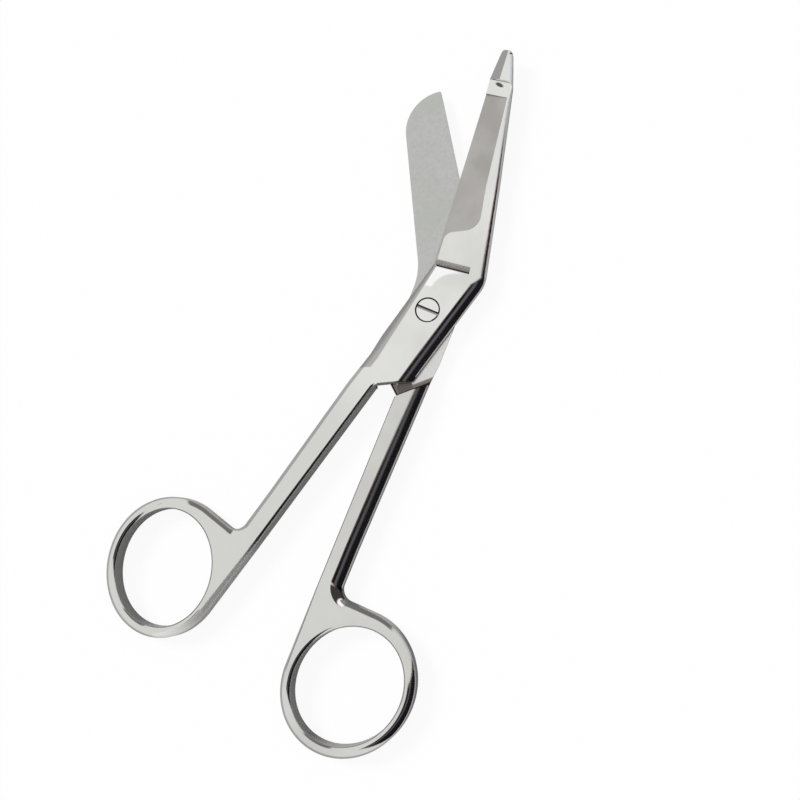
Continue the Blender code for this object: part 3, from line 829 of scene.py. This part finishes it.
def probe_outline():
    left = PARTING_X - JOINT_LEFT
    right = PARTING_X + JOINT_RIGHT
    inner = PARTING_X - SIDE_CLEARANCE / 2
    neck = PROBE_EDGE_LENGTH + PROBE_NECK_LENGTH
    tip = neck + PROBE_NOSE_LENGTH
    # The handle is listed from its inner edge outwards, which on this side runs clockwise
    corners = reversed_corners(handle_corners(-1))
    corners[-1] = (*corners[-1][:3], SHANK_INNER_ROUND)
    return [
        *corners,
        (inner, joint_end_y(0.0), SHOULDER_FILLET, EDGE_BREAK),
        (right, joint_end_y(JOINT_RIGHT), 0.0, JOINT_SIDE_ROUND),
        (right, SHOULDER_APEX_Y / 2, 0.0, JOINT_SIDE_ROUND),
        (right + ELBOW_FLARE, ELBOW_Y, ELBOW_RADIUS, JOINT_SIDE_ROUND),
        (*probe_spot(PROBE_EDGE_LENGTH - PROBE_MID_LENGTH, PROBE_MID_WIDTH), 0.0, PROBE_BACK_ROUND),
        (*probe_spot(neck, PROBE_NECK_WIDTH), 0.0, PROBE_TIP_ROUND),
        (*probe_spot(tip, PROBE_TIP_INSET + PROBE_TIP_WIDTH), PROBE_TIP_RADIUS, EDGE_BREAK),
        (*probe_spot(tip, PROBE_TIP_INSET), PROBE_TIP_RADIUS, EDGE_BREAK),
        (*probe_spot(neck, -PROBE_HUMP), PROBE_HUMP_RADIUS, EDGE_BREAK),
        (*probe_spot(PROBE_EDGE_LENGTH, 0.0), 0.0, EDGE_BREAK),
        (*probe_root(), 0.0, JOINT_SIDE_ROUND),
        (left, SHOULDER_APEX_Y / 2, 0.0, JOINT_SIDE_ROUND),
        (left + JOINT_END_TAPER, joint_end_y(JOINT_LEFT), 0.0, SHANK_SIDE_ROUND),
    ]


def reversed_corners(corners):
    """The same corners the other way round, keeping each edge's rounding."""
    roundings = [corner[3] for corner in corners]
    turned = []
    for index in range(len(corners) - 1, -1, -1):
        x, y, radius, _ = corners[index]
        turned.append((x, y, radius, roundings[index - 1]))
    return turned


# Cutters, each a closed block that a Boolean takes away


def prism(corners, low, high):
    """A straight-sided block over a plan outline, from one height to another."""
    mesh = bmesh.new()
    verts = [mesh.verts.new((x * MM, y * MM, low * MM)) for x, y in corners]
    base = mesh.faces.new(verts)
    grown = bmesh.ops.extrude_face_region(mesh, geom=[base])
    top = [item for item in grown["geom"] if isinstance(item, bmesh.types.BMVert)]
    bmesh.ops.translate(mesh, verts=top, vec=(0.0, 0.0, (high - low) * MM))
    bmesh.ops.recalc_face_normals(mesh, faces=mesh.faces)
    return mesh


def drum(radius, low, high):
    mesh = bmesh.new()
    bmesh.ops.create_cone(
        mesh,
        cap_ends=True,
        segments=CUTTER_SIDES,
        radius1=radius * MM,
        radius2=radius * MM,
        depth=(high - low) * MM,
        matrix=Matrix.Translation((0.0, 0.0, (low + high) / 2 * MM)),
    )
    return mesh


def lap_plan(side):
    """Plan of what the lap takes from a half: all that lies ahead of its shoulder."""
    apex_y = SHOULDER_APEX_Y - SIDE_CLEARANCE / 2
    return [
        (PARTING_X - side * FAR, apex_y),
        (PARTING_X, apex_y),
        (PARTING_X + side * FAR, apex_y + FAR * SHOULDER_SLOPE),
        (PARTING_X - side * FAR, apex_y + FAR * SHOULDER_SLOPE),
    ]


def local_frame(start, along, across, height, up):
    """A frame with X across, Y along, and Z up or down, at a point of the plan."""
    return Matrix((
        (across.x, along.x, 0.0, start.x * MM),
        (across.y, along.y, 0.0, start.y * MM),
        (0.0, 0.0, up, height * MM),
        (0.0, 0.0, 0.0, 1.0),
    ))


def wheel_block(plan, ends):
    """A block over a plan of (across, along, corner radius), its floor at height 0.

    Each entry of ends is the number of the floor edge that it rounds, a radius and a step count.
    """
    mesh = bmesh.new()
    base = [mesh.verts.new((across * MM, along * MM, 0.0)) for across, along, _ in plan]
    floor = mesh.faces.new(base)
    grown = bmesh.ops.extrude_face_region(mesh, geom=[floor])
    top = [item for item in grown["geom"] if isinstance(item, bmesh.types.BMVert)]
    bmesh.ops.translate(mesh, verts=top, vec=(0.0, 0.0, THICKNESS * MM))
    bmesh.ops.recalc_face_normals(mesh, faces=mesh.faces)
    rims = [mesh.edges.get((base[i], base[(i + 1) % len(base)])) for i in range(len(base))]
    posts = {}
    for vert, (_, _, radius) in zip(base, plan):
        post = next(edge for edge in vert.link_edges if edge.other_vert(vert).co.z > 0.0)
        posts.setdefault(radius, []).append(post)
    for index, radius, steps in ends:
        bevel_edges(mesh, [rims[index]], radius, steps)
    for radius, edges in posts.items():
        if radius > 0.0:
            bevel_edges(mesh, [edge for edge in edges if edge.is_valid], radius, ROUND_STEPS)
    return mesh


def bevel_edges(mesh, edges, radius, steps):
    bmesh.ops.bevel(
        mesh,
        geom=edges,
        offset=radius * MM,
        segments=steps,
        profile=0.5,
        affect="EDGES",
        material=-1,
    )


def lean_first_wall(mesh, slope):
    """Leans a block's nearest wall back, by a width for each unit of height."""
    nearest = min(vert.co.y for vert in mesh.verts)
    for vert in mesh.verts:
        if vert.co.y - nearest < NEAR * MM:
            vert.co.y -= vert.co.z * slope


def finish_first_wall(mesh):
    """Gives a block's nearest wall its second finish."""
    mesh.normal_update()
    for face in mesh.faces:
        if face.normal.y < -0.5:
            face.material_index = 1


def on_blade(mesh, start, lean, back_side, slope, height, up):
    """Lays a block on a blade: X from the cutting edge to the back, Y along the edge."""
    along = plan_direction(lean)
    across = Vector((-along.y, along.x)) * back_side
    bmesh.ops.rotate(mesh, matrix=Matrix.Rotation(-math.radians(slope), 3, "Y"), verts=mesh.verts)
    bmesh.ops.transform(mesh, matrix=local_frame(start, along, across, height, up), verts=mesh.verts)
    bmesh.ops.recalc_face_normals(mesh, faces=mesh.faces)
    return mesh


def probe_back_width(along):
    """How far the recess reaches across the probe blade, from its cutting edge."""
    mid = PROBE_EDGE_LENGTH - PROBE_MID_LENGTH
    end = PROBE_EDGE_LENGTH + RECESS_END
    if along < mid:
        share = along / mid
        return RECESS_ROOT_WIDTH + (RECESS_MID_WIDTH - RECESS_ROOT_WIDTH) * share
    share = (along - mid) / (end - mid)
    return RECESS_MID_WIDTH + (RECESS_NECK_WIDTH - RECESS_MID_WIDTH) * share


def probe_recess():
    """The thinned blade: a slope down from the joint, a flat floor, and a ramp up to the nose."""
    mid = PROBE_EDGE_LENGTH - PROBE_MID_LENGTH
    end = PROBE_EDGE_LENGTH + RECESS_END
    floor_start = RECESS_START + STEP_WIDTH
    plan = [
        (-THICKNESS, floor_start, 0.0),
        (probe_back_width(floor_start), floor_start, 0.0),
        (probe_back_width(mid), mid, 0.0),
        (probe_back_width(end), end, 0.0),
        (-THICKNESS, end, 0.0),
    ]
    mesh = wheel_block(plan, [(3, RECESS_RAMP, ROUND_STEPS)])
    lean_first_wall(mesh, STEP_WIDTH / RECESS_DEPTH)
    finish_first_wall(mesh)
    return on_blade(mesh, probe_root(), PROBE_EDGE_LEAN, -1, 0.0, THICKNESS - RECESS_DEPTH, 1)


def probe_grinding():
    """The ground face, which slopes to the cutting edge and runs on as a ledge to the step."""
    start = RECESS_START + STEP_WIDTH + PATCH_LENGTH
    mid = PROBE_EDGE_LENGTH - PROBE_MID_LENGTH
    end = PROBE_EDGE_LENGTH + GRIND_END
    back = probe_back_width(start) - RECESS_SIDE_ROUND
    plan = [
        (-THICKNESS, RECESS_START + LEDGE_START, 0.0),
        (LEDGE_WIDTH, RECESS_START + LEDGE_START, 0.0),
        (LEDGE_WIDTH, start + LEDGE_WIDTH * PATCH_SLANT, PATCH_CORNER_RADIUS),
        (back, start + back * PATCH_SLANT, GRIND_CORNER_RADIUS),
        (probe_back_width(mid) - RECESS_SIDE_ROUND, mid, 0.0),
        (probe_back_width(end) - RECESS_SIDE_ROUND, end, 0.0),
        (-THICKNESS, end, 0.0),
    ]
    mesh = wheel_block(plan, [])
    height = HIGH_FACE + EDGE_THICKNESS
    return on_blade(mesh, probe_root(), PROBE_EDGE_LEAN, -1, GRIND_SLOPE, height, 1)


def blunt_grinding():
    """The blunt blade's outer face, ground on its whole length up to its cutting edge."""
    plan = [
        (-THICKNESS, 0.0, 0.0),
        (BLUNT_GRIND_WIDTH, 0.0, GRIND_CORNER_RADIUS),
        (BLUNT_GRIND_WIDTH, FAR, 0.0),
        (-THICKNESS, FAR, 0.0),
    ]
    mesh = wheel_block(plan, [(0, GRIND_CORNER_RADIUS, ROUND_STEPS)])
    height = LOW_FACE - EDGE_THICKNESS
    return on_blade(mesh, blunt_root(), BLUNT_EDGE_LEAN, 1, BLUNT_GRIND_SLOPE, height, -1)


def facet():
    """The block that planes the probe's flat, sloping from its ridge to the cutting side."""
    start = PROBE_EDGE_LENGTH + RECESS_END + PROBE_FACET_START - RECESS_RAMP
    plan = [
        (-PROBE_NECK_WIDTH, start, 0.0),
        (0.0, start, 0.0),
        (0.0, start + PROBE_NOSE_LENGTH * 2, 0.0),
        (-PROBE_NECK_WIDTH, start + PROBE_NOSE_LENGTH * 2, 0.0),
    ]
    mesh = wheel_block(plan, [])
    ridge = probe_spot(0.0, PROBE_RIDGE_ACROSS)
    return on_blade(mesh, ridge, PROBE_EDGE_LEAN, -1, PROBE_FACET_ANGLE, THICKNESS, 1)


STEEL = {
    "probe": polished_probe(),
    "blunt": polished_blunt(),
    "ground": ground_steel(),
    "lap": lap_steel(),
    "step": step_steel(),
    "nose": nose_steel(),
    "dark": bore_shade_steel(),
    "slot": slot_steel(),
    "screw": screw_steel(),
}


# Pieces


def as_object(name, mesh_source, *materials):
    mesh = bpy.data.meshes.new(name)
    mesh_source.to_mesh(mesh)
    mesh_source.free()
    for material in materials:
        mesh.materials.append(material)
    thing = bpy.data.objects.new(name, mesh)
    bpy.context.scene.collection.objects.link(thing)
    return thing


def cut_away(thing, blocks):
    """Takes the blocks away in turn; each face that a block leaves keeps the block's finish."""
    cutters = []
    for name, (block, *materials) in blocks.items():
        cutter = as_object(name, block, *materials)
        step = thing.modifiers.new(f"cut by {name}", "BOOLEAN")
        step.operation = "DIFFERENCE"
        step.solver = "EXACT"
        step.material_mode = "TRANSFER"
        step.object = cutter
        cutters.append(cutter)
    bpy.context.view_layer.update()
    depsgraph = bpy.context.evaluated_depsgraph_get()
    made = bpy.data.meshes.new_from_object(thing.evaluated_get(depsgraph))
    thing.modifiers.clear()
    thing.data = made
    for cutter in cutters:
        bpy.data.objects.remove(cutter, do_unlink=True)


def settle(thing, turn, node):
    """Puts a finished piece in its place at rest, smooths it, and lets it stand for its solid."""
    thing.data.transform(Matrix.Rotation(math.radians(turn), 4, "Z"))
    thing.data.shade_smooth()
    thing.data.set_sharp_from_angle(angle=math.radians(SMOOTH_ANGLE))
    weighted = thing.modifiers.new("even shading", "WEIGHTED_NORMAL")
    weighted.mode = "FACE_AREA"
    weighted.weight = 100
    weighted.keep_sharp = True
    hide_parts(node)
    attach(thing, CAD_BODY_OF[node])


def make_probe_half():
    mesh = forge(rounded_outline(probe_outline()), hole_outline(-1))
    half = as_object("probe_half_forging", mesh, STEEL["probe"])
    bore = SCREW_SHAFT / 2 + SCREW_GAP
    seat = SCREW_HEAD / 2 + SCREW_SEAT_GAP
    seat_floor = THICKNESS - SCREW_HEAD_DEPTH - SCREW_GAP
    cut_away(half, {
        "probe_lap": (prism(lap_plan(-1), -THICKNESS, HIGH_FACE), STEEL["lap"]),
        "probe_recess": (probe_recess(), STEEL["probe"], STEEL["step"]),
        "probe_grinding": (probe_grinding(), STEEL["ground"]),
        "probe_facet": (facet(), STEEL["nose"]),
        "probe_bore": (drum(bore, 0.0, THICKNESS * 2), STEEL["dark"]),
        "probe_screw_seat": (drum(seat, seat_floor, THICKNESS * 2), STEEL["dark"]),
    })
    settle(half, -OPEN_ANGLE, "probe_half")


def make_blunt_half():
    mesh = forge(rounded_outline(blunt_outline()), hole_outline(1))
    half = as_object("blunt_half_forging", mesh, STEEL["blunt"])
    bore = SCREW_SHAFT / 2 + SCREW_GAP
    cut_away(half, {
        "blunt_lap": (prism(lap_plan(1), LOW_FACE, THICKNESS * 2), STEEL["lap"]),
        "blunt_grinding": (blunt_grinding(), STEEL["ground"]),
        "blunt_bore": (drum(bore, -THICKNESS, THICKNESS), STEEL["dark"]),
    })
    settle(half, 0.0, "blunt_half")


def make_screw():
    """The pivot screw: a turned profile, then its slot."""
    head = SCREW_HEAD / 2
    shaft = SCREW_SHAFT / 2
    under_head = THICKNESS - SCREW_HEAD_DEPTH
    profile = [
        (0.0, THICKNESS),
        (head - EDGE_BREAK / 2, THICKNESS),
        (head, THICKNESS - EDGE_BREAK / 2),
        (head, under_head),
        (shaft, under_head),
        (shaft, EDGE_BREAK),
        (shaft - EDGE_BREAK, 0.0),
        (0.0, 0.0),
    ]
    mesh = bmesh.new()
    verts = [mesh.verts.new((x * MM, 0.0, z * MM)) for x, z in profile]
    edges = [mesh.edges.new(pair) for pair in zip(verts, verts[1:])]
    bmesh.ops.spin(
        mesh,
        geom=verts + edges,
        axis=(0.0, 0.0, 1.0),
        cent=(0.0, 0.0, 0.0),
        angle=math.radians(360.0),
        steps=SCREW_SIDES,
        use_merge=True,
    )
    bmesh.ops.remove_doubles(mesh, verts=mesh.verts, dist=NEAR * MM)
    bmesh.ops.recalc_face_normals(mesh, faces=mesh.faces)
    screw = as_object("pivot_screw_turned", mesh, STEEL["screw"])
    reach = head * 2
    half_slot = SCREW_SLOT_WIDTH / 2
    plan = [(-reach, -half_slot), (reach, -half_slot), (reach, half_slot), (-reach, half_slot)]
    slot = prism(plan, THICKNESS - SCREW_SLOT_DEPTH, THICKNESS * 2)
    cut_away(screw, {"screw_slot": (slot, STEEL["slot"])})
    settle(screw, SCREW_SLOT_ANGLE, "pivot_screw")


# Studio


def paper(name, color):
    """Plain matt paper, for the floor and for what the steel mirrors."""
    material = bpy.data.materials.new(name)
    material.use_nodes = True
    shader = material.node_tree.nodes["Principled BSDF"]
    shader.inputs["Base Color"].default_value = (*color, 1.0)
    shader.inputs["Roughness"].default_value = 1.0
    shader.inputs["Specular IOR Level"].default_value = 0.0
    return material


def white_paper():
    """Pale paper that shows as white behind the object, with its shadow left faint."""
    material = paper("pale_floor", FLOOR_COLOR)
    bench = NodeBench(material.node_tree)
    rays = bench.node("ShaderNodeLightPath").outputs
    seen = bench.math("MAXIMUM", rays["Is Camera Ray"], rays["Is Glossy Ray"])
    seen = bench.math("MAXIMUM", seen, rays["Is Transmission Ray"])
    mixed = bench.node("ShaderNodeMixShader")
    bench.link(bench.product(seen, FLOOR_WHITE_SHARE), mixed.inputs["Fac"])
    bench.link(bench.tree.nodes["Principled BSDF"].outputs["BSDF"], mixed.inputs[1])
    bench.link(bench.node("ShaderNodeEmission").outputs["Emission"], mixed.inputs[2])
    bench.link(mixed.outputs["Shader"], bench.tree.nodes["Material Output"].inputs["Surface"])
    return material


def seen_in_steel_only(thing):
    thing.visible_camera = False
    thing.visible_diffuse = False
    thing.visible_shadow = False


def make_sheet(name, material, size, height):
    mesh = bmesh.new()
    bmesh.ops.create_grid(mesh, x_segments=1, y_segments=1, size=size / 2)
    bmesh.ops.translate(mesh, verts=mesh.verts, vec=(0.0, 0.0, height))
    return as_object(name, mesh, material)


def make_window():
    """The daylight: a soft sun from the left, which the steel doesn't mirror."""
    data = bpy.data.lights.new("window", "SUN")
    data.energy = WINDOW_LIGHT
    data.angle = math.radians(WINDOW_SOFTNESS)
    window = bpy.data.objects.new("window", data)
    aim = Matrix.Rotation(math.radians(PHOTO_TURN + WINDOW_AZIMUTH), 4, "Z")
    window.matrix_world = aim @ Matrix.Rotation(math.radians(90.0 - WINDOW_ELEVATION), 4, "Y")
    window.visible_glossy = False
    bpy.context.scene.collection.objects.link(window)


def make_world():
    """A plain white room; what the steel mirrors of it has cards, a dark one on the right.

    A card is (azimuths, elevations, lean, colour); azimuths run from the photograph's right,
    counter-clockwise, drop by the lean for each degree of elevation, and a later card lies
    over an earlier one.
    """
    cards = [
        ((-60.0, 18.0), (-5.0, 68.0), 0.7, (0.3, 0.2, 0.19)),
        ((-60.0, 14.0), (-5.0, 60.0), 0.7, (0.012, 0.01, 0.013)),
        ((-60.0, 14.0), (38.0, 44.0), 0.7, (0.13, 0.13, 0.15)),
        ((16.0, 50.0), (-5.0, 16.0), 0.0, (0.8, 0.84, 0.9)),
        ((56.0, 95.0), (-5.0, 32.0), 0.0, (0.25, 0.24, 0.24)),
    ]
    world = bpy.data.worlds.new("studio")
    world.use_nodes = True
    bench = NodeBench(world.node_tree)
    x, y, z = bench.axes(bench.place("Generated", turn=PHOTO_TURN))
    azimuth = bench.math("DEGREES", bench.math("ARCTAN2", y, x))
    elevation = bench.math("DEGREES", bench.math("ARCSINE", z))
    mirrored = (1.0, 1.0, 1.0)
    for azimuths, elevations, lean, color in cards:
        leaning = bench.math("MULTIPLY_ADD", elevation, lean, azimuth)
        across = bench.window(leaning, azimuths, CARD_EDGE, unit=1.0)
        upward = bench.window(elevation, elevations, CARD_EDGE, unit=1.0)
        mirrored = bench.blend(bench.product(across, upward), mirrored, color)
    glossy = bench.node("ShaderNodeLightPath").outputs["Is Glossy Ray"]
    background = world.node_tree.nodes["Background"]
    bench.link(bench.blend(glossy, (SKY_LIGHT,) * 3, mirrored), background.inputs["Color"])
    background.inputs["Strength"].default_value = 1.0
    bpy.context.scene.world = world


def make_camera():
    data = bpy.data.cameras.new("camera")
    data.sensor_width = SENSOR_WIDTH
    data.lens = SENSOR_WIDTH * FOCAL_PIXELS / PHOTO_WIDTH_PIXELS
    data.clip_start, data.clip_end = CLIP_METRES
    tilts = (math.tan(math.radians(tilt)) for tilt in (CAMERA_TILT_X, CAMERA_TILT_Y))
    back = Vector((*tilts, 1.0)).normalized()
    right = Vector((0.0, 1.0, 0.0)).cross(back).normalized()
    up = back.cross(right)
    place = (Vector(CAMERA_PLACE) + Vector((0.0, 0.0, MID))) * MM
    in_photo = Matrix((
        (right.x, up.x, back.x, place.x),
        (right.y, up.y, back.y, place.y),
        (right.z, up.z, back.z, place.z),
        (0.0, 0.0, 0.0, 1.0),
    ))
    camera = bpy.data.objects.new("camera", data)
    camera.matrix_world = Matrix.Rotation(math.radians(PHOTO_TURN), 4, "Z") @ in_photo
    bpy.context.scene.collection.objects.link(camera)
    bpy.context.scene.camera = camera


make_camera()
make_probe_half()
make_blunt_half()
make_screw()
make_world()
make_window()
make_sheet("floor", white_paper(), FLOOR_SIZE, 0.0)
seen_in_steel_only(make_sheet("mirrored_mat", paper("mirrored_mat", MAT_COLOR), FLOOR_SIZE, MAT_HEIGHT))
bpy.context.scene.view_settings.view_transform = "Standard"
